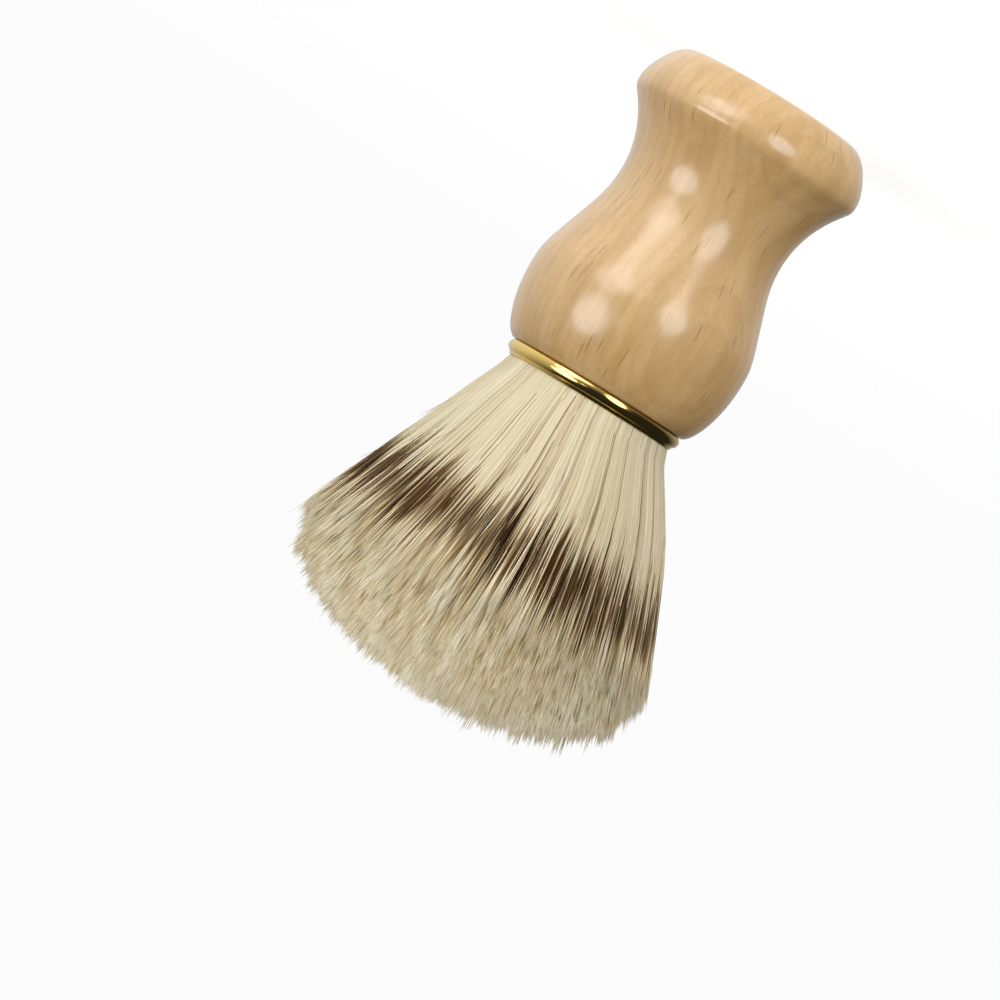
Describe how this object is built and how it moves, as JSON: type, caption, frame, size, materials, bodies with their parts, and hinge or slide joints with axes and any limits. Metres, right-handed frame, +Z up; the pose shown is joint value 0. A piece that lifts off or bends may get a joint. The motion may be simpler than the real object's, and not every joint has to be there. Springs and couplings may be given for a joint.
{
  "type": "shaving brush",
  "caption": "Shaving brush with a turned beech handle, a polished gilt ferrule and a flared, domed knot of cream bristles with a dark band.",
  "frame": {"origin": "centre of the flat base that the brush stands on", "axes": "+Z up along the handle's axis, from the base to the crown of the bristles; X and Y are any two directions across it"},
  "size_m": [0.0576, 0.0576, 0.1016],
  "materials": {
    "beech_wood": "lacquered beech, satin gloss",
    "gilt_brass": "polished gold plate",
    "adhesive": "cured epoxy",
    "plug_resin": "cast resin",
    "binding_thread": "waxed cotton thread",
    "bristle_fibre": "fine tapered fibres, cream with a dark brown band"
  },
  "bodies": {
    "root": {"handle": "beech_wood", "ferrule": "gilt_brass", "knot_adhesive": "adhesive", "knot_plug": "plug_resin", "root_binding": "binding_thread", "bristles": "bristle_fibre"}
  },
  "joints": []
}
